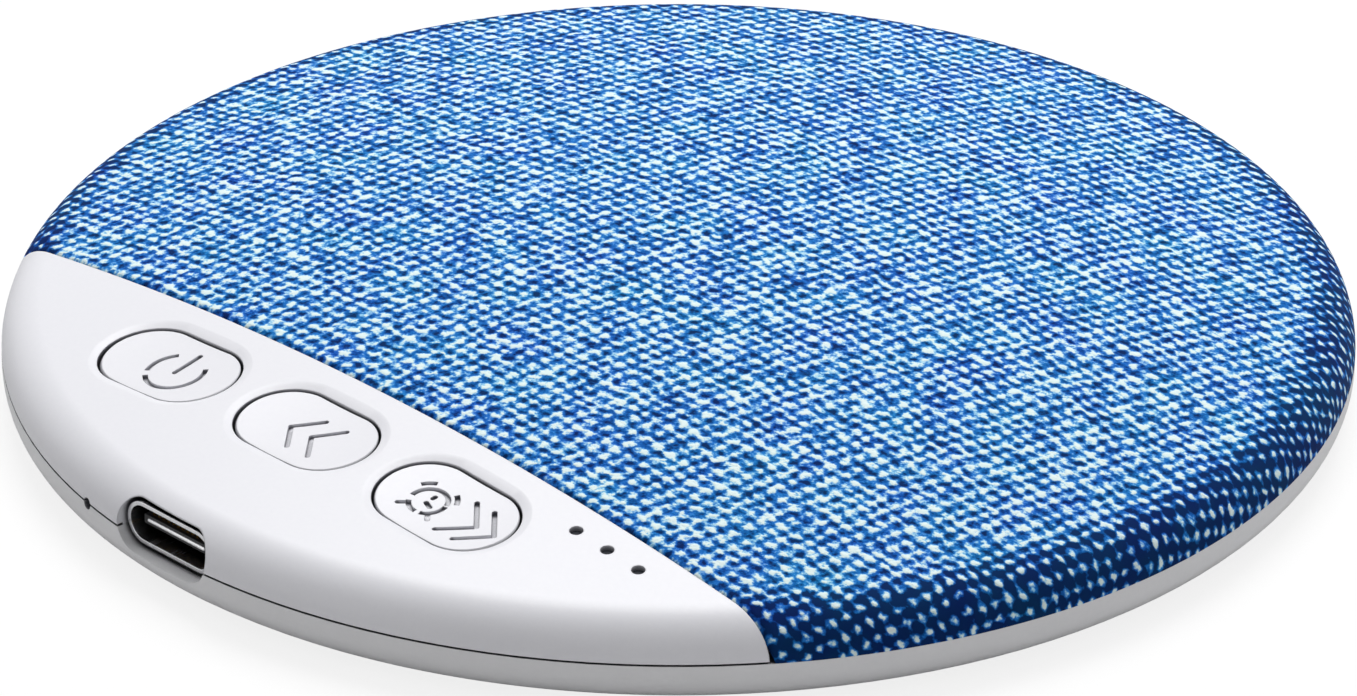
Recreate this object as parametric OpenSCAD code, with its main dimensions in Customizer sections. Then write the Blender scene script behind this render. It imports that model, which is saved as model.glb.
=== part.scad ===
// Slim pillow speaker: a cloth-covered dome, a control panel, a flat base and the works inside.
// The origin is the centre of the underside, +Z is up, and the control panel faces -Y.

/* [Case] */
// Diameter of the case
case_d = 98; // [96:1:104]
// Height of the crown above the parting line
crown_h = 7.5; // [7.4:0.1:9]
// Radius of the rounded rim above the parting line
rim_r = 3.5; // [3.2:0.1:3.8]
// Depth of the base below the parting line
base_depth = 3.3; // [3.2:0.1:4.5]
// Radius of the lower edge of the base
base_edge_r = 2.5; // [2:0.1:2.8]
// Wall of the base
base_wall = 1.2; // [1:0.1:1.3]
// Wall of the control panel
panel_wall = 1.6; // [1.2:0.1:1.8]
// Wall of the grille plate
grille_wall = 1.4; // [1:0.1:1.5]
// Thickness of the cloth
cloth_t = 0.8; // [0.5:0.1:0.9]
// How far the cloth turns in under the grille plate
cloth_turn = 2.1; // [1.5:0.1:2.1]
// Distance from the centre to the border between cloth and panel
border_y = 29; // [28.5:0.5:30]

/* [Buttons] */
// Length of a button
button_l = 11.6; // [11:0.1:12.6]
// Width of a button
button_w = 7.1; // [6:0.1:7.5]
// Distance between the buttons' centres
button_pitch = 14.5; // [14:0.1:15]
// Sideways place of the middle button
button_x = -0.9; // [-1.5:0.1:0]
// Distance of the buttons from the centre of the case
button_y = 35.4; // [35:0.1:36]
// Gap round a button
button_gap = 0.2; // [0.15:0.05:0.3]
// Depth of the dished ring round a button
dish_depth = 0.3; // [0.1:0.05:0.4]
// Width of the dished ring round a button
dish_w = 0.9; // [0.5:0.1:0.9]
// How far a button travels
button_travel = 0.3; // [0.2:0.05:0.3]
// Depth of the engraved signs
sign_depth = 0.25; // [0.1:0.05:0.3]
// Line width of the engraved signs
sign_line = 0.4; // [0.25:0.01:0.45]
// How far the signs lie to the right of the buttons' middles
sign_right = 0.7; // [0:0.1:0.8]

/* [Lamps] */
// Diameter of a lamp hole
lamp_d = 1; // [0.8:0.1:1.2]
// Distance between lamp holes
lamp_pitch = 3.1; // [3:0.1:3.4]
// Sideways place of the middle lamp hole
lamp_x = 25.7; // [25.5:0.1:26.5]
// Distance of the lamp holes from the centre of the case
lamp_y = 31.5; // [31.4:0.1:32.5]

/* [Charging socket] */
// Width of the socket's steel mouth
usb_w = 8.94; // [8.5:0.01:9.2]
// Height of the socket's steel mouth
usb_h = 3.26; // [3:0.01:3.4]
// Length of the socket
usb_l = 7.3; // [6:0.1:7.3]
// Wall of the socket's steel mouth
usb_wall = 0.3; // [0.2:0.05:0.35]
// Gap between the socket and the case
port_gap = 0.3; // [0.2:0.05:0.4]
// Sideways place of the socket
port_x = -1.5; // [-2.5:0.1:0]
// Height of the socket's centre above the parting line
port_rise = 0.7; // [0.6:0.05:0.9]
// How far the mouth lies behind the rim
port_recess = 1.2; // [0.9:0.1:1.5]
// Width of the tongue in the socket
tongue_w = 6.69; // [6:0.01:7]
// Thickness of the tongue
tongue_t = 0.7; // [0.6:0.05:0.8]

/* [Microphone] */
// Diameter of the microphone hole
mic_d = 0.9; // [0.6:0.1:1.2]
// Angle of the microphone hole to the left of the front
mic_angle = 12; // [11.5:0.5:14]

/* [Circuit board] */
// Thickness of the board
board_t = 0.8; // [0.6:0.1:0.8]
// Height of a push switch
switch_h = 1.5; // [1.3:0.1:1.6]
// Diameter of a switch's plunger
plunger_d = 1.8; // [1.4:0.1:2]

/* [Battery] */
// Length of the pouch cell
battery_l = 44; // [38:1:44]
// Width of the pouch cell
battery_w = 16; // [13:0.5:16]
// Thickness of the pouch cell
battery_t = 4; // [3:0.1:4]
// Thickness of the foam under the cell
foam_t = 0.5; // [0.3:0.1:0.6]

/* [Loudspeaker] */
// Outer radius of the loudspeaker's frame
frame_r = 18; // [15:0.1:20]
// Gap between the loudspeaker and the cell in front of it
speaker_gap = 1.3; // [0.8:0.1:2.3]
// Radius of the yoke
yoke_r = 9; // [8:0.1:9.8]
// Diameter of a sound hole
sound_d = 2.2; // [1.6:0.1:2.4]
// Distance between sound holes
sound_pitch = 3.6; // [3.4:0.1:3.6]
// Rings of sound holes round the middle one
sound_rings = 4; // [2:1:4]

/* [Screws and feet] */
// Distance of the screws in from the rim
screw_inset = 7.8; // [7.5:0.1:8.2]
// Diameter of a screw's shank
screw_d = 1.8; // [1.6:0.1:2]
// Diameter of a screw's head
head_d = 3.4; // [3:0.1:3.6]
// Height of a screw's head
head_h = 1.1; // [0.8:0.1:1.2]
// Diameter of a foot
foot_d = 9; // [8:0.5:9]
// How far a foot stands proud of the base
foot_proud = 0.5; // [0.3:0.1:1]
// Depth of a foot's pocket in the base
foot_pocket = 0.5; // [0.3:0.1:0.5]

/* [Hidden] */
$fn = 64;

// Fits between neighbours
seam_gap = 0.15;
seam_line = 0.5;
glue_gap = 0.05;
border_gap = 0.15;
lip_clear = 0.15;
run_gap = 0.05;
pin_gap = 0.1;
screw_gap = 0.03;
past = 1;

// Heights and radii of the case
case_r = case_d / 2;
floor_z = foot_proud;
inner_floor_z = floor_z + base_wall;
root_z = inner_floor_z - 0.3;
seam_z = floor_z + base_depth;
crown_z = seam_z + crown_h;
rim_x = case_r - rim_r;
dome_r = (rim_x * rim_x + crown_h * crown_h - rim_r * rim_r) / (2 * (crown_h - rim_r));
dome_cz = crown_z - dome_r;
grille_out = cloth_t + glue_gap;
grille_in = grille_out + grille_wall;
wall_low_z = seam_z + 1.4;
border_wall = 1.2;
lip_r = case_r - max(grille_in, cloth_turn) - lip_clear;
lip_t = 0.9;
lip_h = 0.8;
shelf_h = 0.7;

// Screws
screw_r = case_r - screw_inset;
screw_angles = [51, 129, 209, 331];
head_seat_z = floor_z + foot_pocket + head_h + run_gap * 2;
boss_z = seam_z + cloth_t;
boss_d = 5;
post_d = 6;
screw_top_z = dome_height(screw_r, 0, grille_out) - 0.9;

// Buttons, from the flat underside of their pockets down to the board
button_xs = [for (i = [-1:1]) button_x + i * button_pitch];
flange_w = 0.6;
flange_t = 0.6;
pocket_clear = 0.3;
pocket_bite = 0.3;
button_end_x = button_pitch + button_l / 2 + abs(button_x);
pocket_z = dome_height(button_end_x, button_y + button_w / 2, panel_wall) + pocket_bite;
flange_z = pocket_z - run_gap - flange_t;
stem_d = 3;
button_chamfer = 0.15;
dish_edge = min(dish_w, (button_pitch - button_l) / 2 - button_gap - 0.05);
hollow_depth = 0.25;
hollow_r = 74;
taper_h = 4;

// Board and what stands on it
port_z = seam_z + port_rise;
mouth_y = port_recess - case_r;
board_top_z = port_z - usb_h / 2;
board_z = board_top_z - board_t;
board_r = lip_r - lip_t - 0.2;
board_back_y = 1 - border_y;
board_pin_d = 1.5;
board_pins = [for (side = [-1, 1]) [side * 18.5, board_back_y - 2]];
board_pin_rise = 0.6;
board_pad_d = 3;
board_pad_angles = [229.5, 270, 309];
switch_size = [4.2, 3.2, switch_h];
switch_top_z = board_top_z + switch_h;
plunger_sink = 0.6;
plunger_rise = 0.5;
plunger_top_z = switch_top_z + plunger_rise;

// Parts on the board, in two columns between the switches and at the board's back edge
columns = [for (side = [-1, 1]) button_x + side * button_pitch / 2];
radio_size = [5, 5, 0.9];
power_chip_size = [3, 3, 0.8];
power_chip_pitch = 4.6;
crystal_size = [3.2, 2.5, 0.7];
crystal_gap = 0.85;
coil_size = [3, 3, 1.2];
coil_place = [button_x - 12.1, board_back_y - 2.2];
antenna_size = [5, 1.8, 1];
antenna_gap = 0.3;
antenna_y = board_back_y - 2.4;
antenna_front_y = antenna_y - antenna_size[1] / 2;
antenna_x = antenna_gap + antenna_size[0] / 2 - sqrt(pow(board_r, 2) - pow(antenna_front_y, 2));
capacitor_size = [1.6, 0.8, 0.8];
capacitor_pitch = 2.4;
led_size = [1.6, 0.8, 0.6];

// Lamps and their light guide
lamp_xs = [for (i = [-1:1]) lamp_x + i * lamp_pitch];
guide_top_z = dome_height(lamp_x + lamp_pitch + 1, lamp_y + 1, panel_wall) - pin_gap;
guide_t = 0.8;
guide_l = 3 * lamp_pitch - 0.4;
guide_w = 2;
guide_cell = [2, 1.2, crown_z];
lamp_recess = 0.3;

// Microphone, in the frame of its own radius
mic_size = [3, 2.2, 1];
mic_y = 5.2 - case_r;
boot_w = 4;
boot_front_y = panel_wall + 0.6 - case_r;
boot_l = 5;
boot_roof = 0.6;
boot_cut_l = 2.6;
boot_top_z = board_top_z + 2;

// Battery, between two ribs behind the board
rib_t = 1;
rib_h = 2.5;
rib_short = 4;
board_gap = 1.4;
battery_front_y = board_back_y + board_gap + rib_t + pocket_clear;
battery_y = battery_front_y + battery_w / 2;
battery_z = inner_floor_z + foam_t;
battery_edge_r = 1.2;
terrace_l = 2.2;
terrace_t = 0.6;
terrace_inset = 2;
terrace_top_z = battery_z + (battery_t + terrace_t) / 2;
protection_t = 0.8;
pad_xs = [-12, 12];

// Battery's plug and socket on the board
socket_size = [5, 3.8, 2];
socket_wall = 0.4;
plug_size = [4, 3.8, 1.4];
plug_x = -24;
plug_y = board_back_y - plug_size[1];
plug_proud = 1.3;
lead_pitch = 1.1;

// Leads
lead_d = 0.8;
lead_sides = 8;
lead_steps = 4;

// Loudspeaker behind the cell, in radii that follow its frame and its yoke
speaker_y = battery_y + battery_w / 2 + speaker_gap + frame_r;
frame_flange_w = 2.4;
frame_wall_r = frame_r - frame_flange_w;
frame_t = 0.6;
vent_land = 1;
land_w = 2.3;
roll_r = 1;
cone_r = frame_r - land_w - 2 * roll_r;
cone_lip = 1;
roll_x = cone_r + roll_r;
surround_t = 0.2;
surround_lap = 0.9;
gasket_t = 0.6;
gasket_w = 1.8;
gasket_in_r = frame_r - gasket_w;
sound_margin = 0.4;
yoke_wall = 0.9;
coil_r = yoke_r - yoke_wall - 1.1;
coil_t = 0.4;
plate_r = coil_r - 0.4;
magnet_r = plate_r - 0.3;
dust_cap_h = 1.4;

// Loudspeaker, in heights above the inner floor
yoke_h = 2.8;
yoke_base = 0.7;
plate_t = 0.7;
coil_low = 1.2;
cone_low = 3.5;
cone_t = 0.25;
flange_high = 4.2;
terminal_low = 2.4;
gasket_top_z = inner_floor_z + flange_high + surround_t + gasket_t;

// Terminals on the loudspeaker's frame
terminal_w = 5;
terminal_reach = 4;
terminal_t = 0.6;

// Height of the dome over a place, inset from the outer face
function dome_height(x, y, inset) = dome_cz + sqrt(pow(dome_r - inset, 2) - x * x - y * y);

// Where the dome's arc meets the rim's arc, inset from the outer face
function tangent_x(inset) = rim_x + (rim_r - inset) * rim_x / (dome_r - rim_r);

// Half section under the crown, inset from its outer face, from low above the parting line
module crown_2d(inset, low = 0) {
  intersection() {
    translate([0, dome_cz]) circle(r = dome_r - inset, $fn = 720);
    translate([0, seam_z + low]) square([tangent_x(inset), crown_h]);
  }
  intersection() {
    translate([rim_x, seam_z]) circle(r = rim_r - inset);
    translate([0, seam_z + low]) square([case_r, crown_h]);
  }
}

// Half section of the base, inset from its outer face
module base_2d(inset) {
  edge = base_edge_r - inset;
  edge_x = case_r - base_edge_r;
  edge_z = floor_z + base_edge_r;
  translate([0, floor_z + inset]) square([edge_x, seam_z - floor_z - inset]);
  translate([0, edge_z]) square([case_r - inset, seam_z - edge_z]);
  intersection() {
    translate([edge_x, edge_z]) circle(r = edge);
    translate([0, floor_z]) square([case_r, seam_z - floor_z]);
  }
}

// Everything on the panel's side of a line parallel to the border
module front_of(y) {
  translate([-case_d, y - case_d, -past]) cube([2 * case_d, case_d, crown_z + 2 * past]);
}

// Everything on the cloth's side of a line parallel to the border
module behind(y) {
  translate([-case_d, y, -past]) cube([2 * case_d, case_d, crown_z + 2 * past]);
}

// Puts a shape on the dome's outer face, with its Z along the normal there
module on_dome(x, y) {
  lean = -asin(y / dome_r);
  roll = asin(x / (dome_r * cos(lean)));
  translate([0, 0, dome_cz]) rotate([lean, roll, 0]) translate([0, 0, dome_r]) children();
}

// Long round-ended outline
module stadium_2d(l, w) {
  for (side = [-1, 1]) translate([side * (l - w) / 2, 0]) circle(d = w);
  square([l - w, w], center = true);
}

// Long round-ended block whose outline grows evenly from its foot to its top
module stadium_taper(l, w, grow, h) {
  for (side = [-1, 1]) {
    translate([side * (l - w) / 2, 0, 0]) cylinder(h = h, r1 = w / 2, r2 = w / 2 + grow);
  }
  rotate([90, 0, 90]) translate([0, 0, (w - l) / 2]) linear_extrude(l - w) polygon([
    [-w / 2, 0], [w / 2, 0], [w / 2 + grow, h], [-w / 2 - grow, h],
  ]);
}

// Flat ring
module ring(r_in, r_out, h) {
  difference() {
    cylinder(r = r_out, h = h);
    translate([0, 0, -past]) cylinder(r = r_in, h = h + 2 * past);
  }
}

// Block centred over a place, standing at a height
module block(place, size, z) {
  translate([place[0] - size[0] / 2, place[1] - size[1] / 2, z]) cube(size);
}

// Places on the circle of the screws
module at_screws() {
  for (a = screw_angles) rotate(a) translate([screw_r, 0, 0]) children();
}

// The opening round the charging socket, cut in from the rim
module port_cut() {
  translate([port_x, -case_r - past, port_z]) rotate([-90, 0, 0])
    linear_extrude(usb_l + port_recess + past + port_gap)
      stadium_2d(usb_w + 2 * port_gap, usb_h + 2 * port_gap);
}

// The microphone hole, on the parting line
module mic_cut() {
  rotate(-mic_angle) translate([0, -case_r - past, seam_z]) rotate([-90, 0, 0])
    cylinder(d = mic_d, h = past + panel_wall + 1.5);
}

// Room for the rubber boot in the base's lip
module boot_cut() {
  rotate(-mic_angle) block(
    [0, boot_front_y],
    [boot_w + 4 * pin_gap, boot_cut_l, seam_z],
    seam_z - shelf_h - pin_gap
  );
}

// Base

module bottom_shell() {
  color([0.78, 0.78, 0.80]) difference() {
    union() {
      rotate_extrude() difference() {
        base_2d(0);
        base_2d(base_wall);
      }
      lip();
      at_screws() translate([0, 0, root_z]) cylinder(d = post_d, h = boss_z - root_z);
      for (p = board_pins) translate([p[0], p[1], root_z]) {
        cylinder(d = board_pin_d + 2, h = board_z - root_z);
        cylinder(d = board_pin_d, h = board_top_z + board_pin_rise - root_z);
      }
      for (a = board_pad_angles) rotate(a) translate([board_r - board_pad_d / 2, 0, root_z])
        cylinder(d = board_pad_d, h = board_z - root_z);
      translate([0, speaker_y, root_z])
        ring(yoke_r + lip_clear, yoke_r + lip_clear + rib_t, inner_floor_z + coil_low - root_z);
      for (side = [-1, 1]) {
        rib_y = battery_y + side * (battery_w / 2 + pocket_clear + rib_t / 2);
        block([0, rib_y], [battery_l - 2 * rib_short, rib_t, inner_floor_z + rib_h - root_z], root_z);
      }
    }
    at_screws() {
      translate([0, 0, floor_z - past]) cylinder(d = foot_d + 2 * pin_gap, h = past + foot_pocket);
      cylinder(d = head_d + 4 * pin_gap, h = head_seat_z);
      cylinder(d = screw_d + 4 * pin_gap, h = boss_z + past);
    }
    port_cut();
    mic_cut();
    boot_cut();
  }
}

// The lip that locates the top parts, on a shelf inside the wall
module lip() {
  translate([0, 0, seam_z - shelf_h]) {
    ring(lip_r - lip_t, lip_r, shelf_h + lip_h);
    ring(lip_r - lip_t, case_r - base_wall / 2, shelf_h);
  }
}

// Top parts

module control_panel() {
  face_y = -border_y - border_gap;
  wall_y = face_y - border_wall;
  pocket_wall = 2;
  color([0.94, 0.94, 0.97]) difference() {
    union() {
      intersection() {
        rotate_extrude() {
          crown_2d(0, seam_gap);
          translate([case_r - panel_wall, seam_z]) square([panel_wall - seam_line, 2 * seam_gap]);
        }
        front_of(face_y);
      }
      panel_tabs(wall_y);
    }
    difference() {
      rotate_extrude() {
        crown_2d(panel_wall);
        translate([0, seam_z - past]) square([case_r - panel_wall, past]);
      }
      intersection() {
        behind(wall_y);
        translate([0, 0, wall_low_z]) cylinder(r = case_r, h = crown_h);
      }
      panel_tabs(wall_y);
      for (x = button_xs) translate([x, -button_y, pocket_z]) linear_extrude(crown_h)
        stadium_2d(button_l + 2 * flange_w + pocket_wall, button_w + 2 * flange_w + pocket_wall);
    }
    for (x = button_xs) {
      translate([x, -button_y, 0]) {
        linear_extrude(crown_z + past) stadium_2d(button_l + 2 * button_gap, button_w + 2 * button_gap);
        linear_extrude(pocket_z) stadium_2d(
          button_l + 2 * (flange_w + pocket_clear),
          button_w + 2 * (flange_w + pocket_clear)
        );
      }
      on_dome(x, -button_y) translate([0, 0, -2 * dish_depth]) stadium_taper(
        button_l + 2 * (button_gap - dish_edge),
        button_w + 2 * (button_gap - dish_edge),
        2.5 * dish_edge, 2.5 * dish_depth
      );
    }
    for (x = lamp_xs) translate([x, -lamp_y, seam_z]) cylinder(d = lamp_d, h = crown_h + past);
    port_cut();
    mic_cut();
  }
}

// Flat tongues on the panel's border wall that reach under the grille plate
module panel_tabs(wall_y) {
  tab_t = 0.7;
  tab_w = 5;
  tab_reach = 3.7;
  end_x = sqrt(case_r * case_r - border_y * border_y) - 8.5;
  for (x = [-end_x, -10, 8, end_x]) translate([x - tab_w / 2, wall_y, wall_low_z - tab_t]) {
    cube([tab_w, tab_reach, tab_t]);
    cube([tab_w, border_wall, 2 * tab_t]);
  }
}

module grille_plate() {
  face_y = grille_out - border_y;
  color([0.16, 0.17, 0.20]) difference() {
    intersection() {
      rotate_extrude() crown_2d(grille_out, cloth_t);
      behind(face_y);
    }
    difference() {
      intersection() {
        rotate_extrude() crown_2d(grille_in);
        union() {
          behind(face_y + grille_wall);
          cylinder(r = case_r - grille_in, h = wall_low_z);
        }
      }
      at_screws() translate([0, 0, boss_z]) cylinder(d = boss_d, h = crown_h);
      translate([0, speaker_y, gasket_top_z]) ring(gasket_in_r, frame_r, crown_h);
      for (x = pad_xs) {
        pad_z = battery_z + battery_t + 2 * pin_gap;
        block([x, battery_y], [rib_t, battery_w - 2 * terrace_inset, crown_h], pad_z);
      }
    }
    at_screws() translate([0, 0, boss_z - past])
      cylinder(d = screw_d + 2 * screw_gap, h = screw_top_z + pin_gap - boss_z + past);
    for (p = sound_places()) translate([p[0], speaker_y + p[1], seam_z])
      cylinder(d = sound_d, h = crown_h + past, $fn = 24);
  }
}

// Centres of the sound holes in rings of six sides, as far as the gasket leaves room
function sound_places() = [
  for (q = [-sound_rings:sound_rings])
    for (r = [max(-sound_rings, -q - sound_rings):min(sound_rings, -q + sound_rings)])
      let (p = sound_pitch * [q + r / 2, r * sqrt(3) / 2])
      if (norm(p) + sound_d / 2 < gasket_in_r - sound_margin) p,
];

module fabric_cover() {
  color([0.20, 0.42, 0.75]) difference() {
    intersection() {
      rotate_extrude() crown_2d(0);
      behind(-border_y);
    }
    intersection() {
      rotate_extrude() crown_2d(cloth_t, cloth_t);
      behind(cloth_t - border_y);
    }
    cylinder(r = case_r - cloth_turn, h = wall_low_z);
  }
}

// Buttons, their plungers and switches

module button(x) {
  sunk = dish_depth + hollow_depth;
  sign_back = -0.2;
  color([0.95, 0.95, 0.97]) difference() {
    union() {
      intersection() {
        translate([x, -button_y, flange_z]) linear_extrude(crown_h) stadium_2d(button_l, button_w);
        on_dome(x, -button_y) translate([0, 0, -dish_depth - taper_h]) stadium_taper(
          button_l + 2 * (taper_h - button_chamfer),
          button_w + 2 * (taper_h - button_chamfer),
          -taper_h, taper_h
        );
      }
      translate([x, -button_y, 0]) {
        translate([0, 0, flange_z]) linear_extrude(flange_t)
          stadium_2d(button_l + 2 * flange_w, button_w + 2 * flange_w);
        translate([0, 0, plunger_top_z]) cylinder(d = stem_d, h = flange_z - plunger_top_z + flange_t / 2);
      }
    }
    on_dome(x, -button_y) {
      translate([0, 0, hollow_r - sunk]) sphere(r = hollow_r, $fn = 360);
      translate([sign_right, sign_back, -sunk - sign_depth]) linear_extrude(sunk + past) children();
    }
  }
}

// A straight line of a sign, from its start in a direction
module stroke(x, y, angle, l) {
  translate([x, y]) rotate(angle) {
    translate([0, -sign_line / 2]) square([l, sign_line]);
    circle(d = sign_line);
    translate([l, 0]) circle(d = sign_line);
  }
}

// A round line of a sign, between two angles less than half a turn apart
module arc(r, from, to) {
  difference() {
    circle(r = r + sign_line / 2);
    circle(r = r - sign_line / 2);
    rotate(from - 180) translate([-2 * r, 0]) square([4 * r, 2 * r]);
    rotate(to) translate([-2 * r, 0]) square([4 * r, 2 * r]);
  }
}

// Angle marks whose arms open at an angle from their tips
module arrows(tips, open, l) {
  for (x = tips) for (turn = [-open, open]) stroke(x, 0, turn, l);
}

// A ring broken at the top by an upright bar
module power_sign() {
  arc(2.2, 132, 208);
  arc(2.2, 224, 400);
  stroke(0, -0.1, 90, 2.5);
}

// Two angle marks that point left
module back_sign() {
  arrows([-2.2, -0.05], 49, 2.5);
}

// An alarm clock and two angle marks that point right
module forward_sign() {
  arrows([2.5, 4.3], 136, 2.9);
  translate([-2.3, -0.1]) {
    for (a = [[20, 190], [215, 275], [290, 375]]) arc(1.4, a[0], a[1]);
    for (a = [45, 135]) arc(2.05, a - 16, a + 16);
    for (a = [225, 315]) rotate(a) stroke(1.4, 0, 0, 0.75);
    stroke(0, 0.45, 90, 0.2);
    stroke(0, -0.2, -20, 0.6);
  }
}

module power_button() {
  button(button_xs[0]) power_sign();
}

module back_button() {
  button(button_xs[1]) back_sign();
}

module forward_button() {
  button(button_xs[2]) forward_sign();
}

module plunger(x) {
  color([0.15, 0.15, 0.16]) translate([x, -button_y, switch_top_z - plunger_sink])
    cylinder(d = plunger_d, h = plunger_sink + plunger_rise);
}

module switch(x) {
  color([0.75, 0.75, 0.77]) difference() {
    block([x, -button_y], switch_size, board_top_z);
    translate([x, -button_y, switch_top_z - plunger_sink - button_travel - pin_gap])
      cylinder(d = plunger_d + 2 * run_gap, h = switch_h);
  }
}

// Circuit board

module main_board() {
  color([0.05, 0.30, 0.16]) difference() {
    intersection() {
      translate([0, 0, board_z]) cylinder(r = board_r, h = board_t);
      front_of(board_back_y);
    }
    for (p = board_pins) translate([p[0], p[1], 0]) cylinder(d = board_pin_d + 2 * pin_gap, h = crown_z);
  }
}

// A part soldered flat on the board
module on_board(place, size) {
  block(place, size, board_top_z);
}

module radio_chip() {
  color([0.08, 0.08, 0.09]) on_board([columns[1], -button_y], radio_size);
}

module amplifier_chip() {
  color([0.08, 0.08, 0.09]) on_board([columns[0], power_chip_pitch / 2 - button_y], power_chip_size);
}

module charger_chip() {
  color([0.08, 0.08, 0.09]) on_board([columns[0], -power_chip_pitch / 2 - button_y], power_chip_size);
}

module crystal() {
  y = (radio_size[1] + crystal_size[1]) / 2 + crystal_gap - button_y;
  color([0.78, 0.78, 0.80]) on_board([columns[1], y], crystal_size);
}

module inductor() {
  color([0.25, 0.25, 0.27]) on_board(coil_place, coil_size);
}

module antenna() {
  color([0.85, 0.82, 0.72]) on_board([antenna_x, antenna_y], antenna_size);
}

// A row of capacitors, centred over a place
module capacitor_row(count, x, y) {
  for (i = [0:count - 1]) on_board([x + capacitor_pitch * (i - (count - 1) / 2), y], capacitor_size);
}

module chip_capacitors() {
  radio_front = radio_size[1] / 2 + 1.4;
  switch_back = switch_size[1] / 2 + 2;
  color([0.70, 0.56, 0.38]) {
    capacitor_row(4, columns[1], -radio_front - button_y);
    capacitor_row(3, button_x, switch_back - button_y);
    capacitor_row(3, lamp_x - 2.6, -4.8 - lamp_y);
  }
}

module timer_led(i) {
  color([0.92, 0.90, 0.78]) on_board([lamp_xs[i], -lamp_y], led_size);
}

module light_shield() {
  color([0.05, 0.05, 0.05]) difference() {
    on_board([lamp_x, -lamp_y], [guide_l, guide_w, guide_top_z - guide_t - board_top_z]);
    for (x = lamp_xs) block([x, -lamp_y], guide_cell, 0);
  }
}

module light_guide() {
  pin_low_z = guide_top_z - guide_t / 2;
  color([0.22, 0.23, 0.25]) {
    block([lamp_x, -lamp_y], [guide_l, guide_w, guide_t], guide_top_z - guide_t);
    for (x = lamp_xs) translate([x, -lamp_y, pin_low_z])
      cylinder(d = lamp_d - 2 * run_gap, h = dome_height(x, lamp_y, lamp_recess) - pin_low_z);
  }
}

module microphone() {
  color([0.76, 0.70, 0.50]) rotate(-mic_angle) on_board([0, mic_y], mic_size);
}

module microphone_boot() {
  fit = [2 * run_gap, 2 * run_gap, run_gap];
  color([0.10, 0.10, 0.11]) rotate(-mic_angle) difference() {
    on_board([0, boot_front_y + boot_l / 2], [boot_w, boot_l, boot_top_z - board_top_z]);
    block([0, mic_y], mic_size + fit, board_top_z);
    block([0, mic_y], [mic_d, mic_d, boot_top_z - boot_roof - board_top_z], board_top_z);
    block([0, boot_front_y], [mic_d, 2 * (mic_y - boot_front_y), mic_d], seam_z - mic_d / 2);
  }
}

// Charging socket

module usb_inside_2d() {
  stadium_2d(usb_w - 2 * usb_wall, usb_h - 2 * usb_wall);
}

module port_shell() {
  color([0.80, 0.80, 0.82]) translate([port_x, mouth_y, port_z]) rotate([-90, 0, 0]) difference() {
    linear_extrude(usb_l) stadium_2d(usb_w, usb_h);
    translate([0, 0, -past]) linear_extrude(usb_l + 2 * past) usb_inside_2d();
  }
}

// The tongue stands on a block that closes the rear of the steel mouth
module port_tongue() {
  block_l = 1.5;
  tip = 0.6;
  color([0.06, 0.06, 0.07]) translate([port_x, mouth_y, port_z]) {
    translate([0, usb_l - block_l, 0]) rotate([-90, 0, 0]) linear_extrude(block_l) usb_inside_2d();
    translate([-tongue_w / 2, tip, -tongue_t / 2]) cube([tongue_w, usb_l - block_l / 2 - tip, tongue_t]);
  }
}

module port_contacts() {
  contact = [0.25, 3.4, 0.05];
  count = 12;
  pitch = 0.5;
  start = 1;
  color([0.85, 0.68, 0.30]) for (i = [0:count - 1]) for (side = [-1, 1]) {
    x = port_x + pitch * (i - (count - 1) / 2);
    z = port_z + side * (tongue_t + contact[2]) / 2 - contact[2] / 2;
    block([x, mouth_y + start + contact[1] / 2], contact, z);
  }
}

// Battery

module battery() {
  edge_r = battery_edge_r;
  color([0.72, 0.73, 0.76]) translate([0, battery_y, battery_z]) {
    rotate([90, 0, 90]) translate([0, 0, -battery_l / 2]) linear_extrude(battery_l) {
      for (side = [-1, 1]) for (z = [edge_r, battery_t - edge_r]) {
        translate([side * (battery_w / 2 - edge_r), z]) circle(r = edge_r);
      }
      translate([edge_r - battery_w / 2, 0]) square([battery_w - 2 * edge_r, battery_t]);
      translate([-battery_w / 2, edge_r]) square([battery_w, battery_t - 2 * edge_r]);
    }
    translate([-battery_l / 2 - terrace_l, terrace_inset - battery_w / 2, (battery_t - terrace_t) / 2])
      cube([terrace_l + past, battery_w - 2 * terrace_inset, terrace_t]);
  }
}

module protection_board() {
  size = [terrace_l - 2 * pin_gap, battery_w - 2 * terrace_inset, protection_t];
  color([0.08, 0.26, 0.16]) block([-(battery_l + terrace_l) / 2, battery_y], size, terrace_top_z);
}

module battery_foam() {
  size = [battery_l - 3 * terrace_inset, battery_w - 2 * terrace_inset, foam_t];
  color([0.30, 0.30, 0.31]) block([0, battery_y], size, inner_floor_z);
}

module battery_socket() {
  room = socket_size - [2 * socket_wall, 0, 0.3];
  color([0.90, 0.88, 0.80]) difference() {
    on_board([plug_x, plug_y - plug_proud], socket_size);
    on_board([plug_x, plug_y - pocket_clear], room);
  }
}

module battery_plug() {
  color([0.93, 0.91, 0.84]) on_board([plug_x, plug_y], plug_size);
}

// A round lead swept along points, with smooth turns between them

function lead_point(p, i, t) =
  let (a = p[max(i - 1, 0)], b = p[i], c = p[i + 1], d = p[min(i + 2, len(p) - 1)])
  0.5 * (2 * b + t * (c - a) + t * t * (2 * a - 5 * b + 4 * c - d) + t * t * t * (3 * b - a - 3 * c + d));

function lead_path(p) = [
  for (i = [0:len(p) - 2]) for (k = [0:lead_steps - 1]) lead_point(p, i, k / lead_steps),
  p[len(p) - 1],
];

function unit(v) = v / norm(v);

function lead_ring(q, i) =
  let (
    ahead = unit(q[min(i + 1, len(q) - 1)] - q[max(i - 1, 0)]),
    side = unit(cross(ahead, [0, 0, 1])),
    up = cross(side, ahead)
  )
  [for (k = [0:lead_sides - 1])
    let (a = 360 * k / lead_sides) q[i] + lead_d / 2 * (cos(a) * side + sin(a) * up)];

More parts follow.
